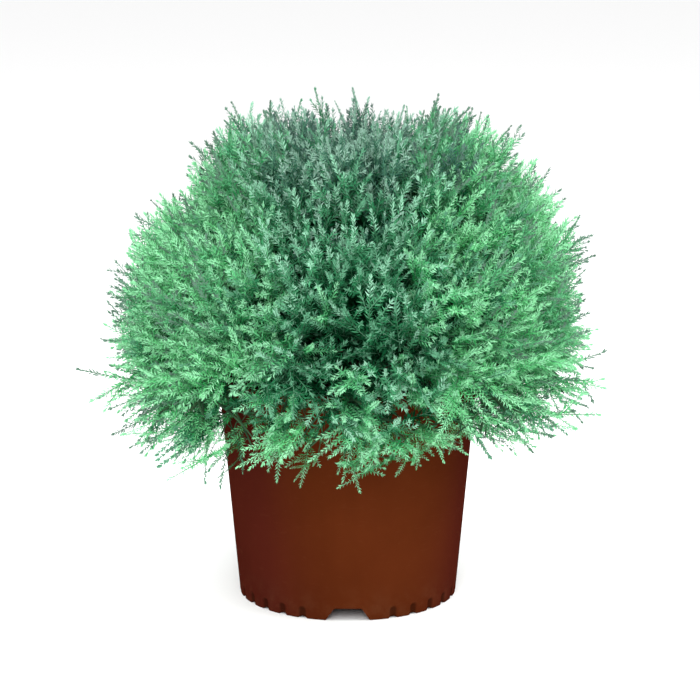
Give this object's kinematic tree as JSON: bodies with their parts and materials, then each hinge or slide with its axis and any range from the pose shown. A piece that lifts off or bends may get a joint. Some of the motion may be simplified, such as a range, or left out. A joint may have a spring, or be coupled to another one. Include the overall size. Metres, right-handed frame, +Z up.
{
  "type": "potted arborvitae",
  "caption": "Potted arborvitae: a broad, dense dome of soft blue-green needle foliage that spills over a tapered brown nursery pot with a notched, fluted foot.",
  "frame": {"origin": "on the ground, under the middle of the pot and of the crown", "axes": "+Z up along the pot's axis; -Y is the front, where one of the pot's three drainage notches is; +X to the right seen from the front"},
  "size_m": [0.5043, 0.505, 0.4875],
  "materials": {
    "pot_plastic": "satin moulded plastic",
    "potting_mix": "rough, damp composted bark",
    "bark": "rough, stringy bark",
    "needles": "matt, slightly waxy"
  },
  "bodies": {
    "root": {"pot": "pot_plastic", "potting_mix": "potting_mix", "trunk": "bark", "bough_skirt_1": "bark", "bough_skirt_2": "bark", "bough_skirt_3": "bark", "bough_skirt_4": "bark", "bough_skirt_5": "bark", "bough_skirt_6": "bark", "bough_skirt_7": "bark", "bough_skirt_8": "bark", "bough_side_1": "bark", "bough_side_2": "bark", "bough_side_3": "bark", "bough_side_4": "bark", "bough_side_5": "bark", "bough_side_6": "bark", "bough_side_7": "bark", "bough_side_8": "bark", "bough_shoulder_1": "bark", "bough_shoulder_2": "bark", "bough_shoulder_3": "bark", "bough_shoulder_4": "bark", "bough_shoulder_5": "bark", "bough_shoulder_6": "bark", "bough_top": "bark", "foliage_skirt_1": "needles", "foliage_skirt_2": "needles", "foliage_skirt_3": "needles", "foliage_skirt_4": "needles", "foliage_skirt_5": "needles", "foliage_skirt_6": "needles", "foliage_skirt_7": "needles", "foliage_skirt_8": "needles", "foliage_side_1": "needles", "foliage_side_2": "needles", "foliage_side_3": "needles", "foliage_side_4": "needles", "foliage_side_5": "needles", "foliage_side_6": "needles", "foliage_side_7": "needles", "foliage_side_8": "needles", "foliage_shoulder_1": "needles", "foliage_shoulder_2": "needles", "foliage_shoulder_3": "needles", "foliage_shoulder_4": "needles", "foliage_shoulder_5": "needles", "foliage_shoulder_6": "needles", "foliage_top": "needles"}
  },
  "joints": []
}
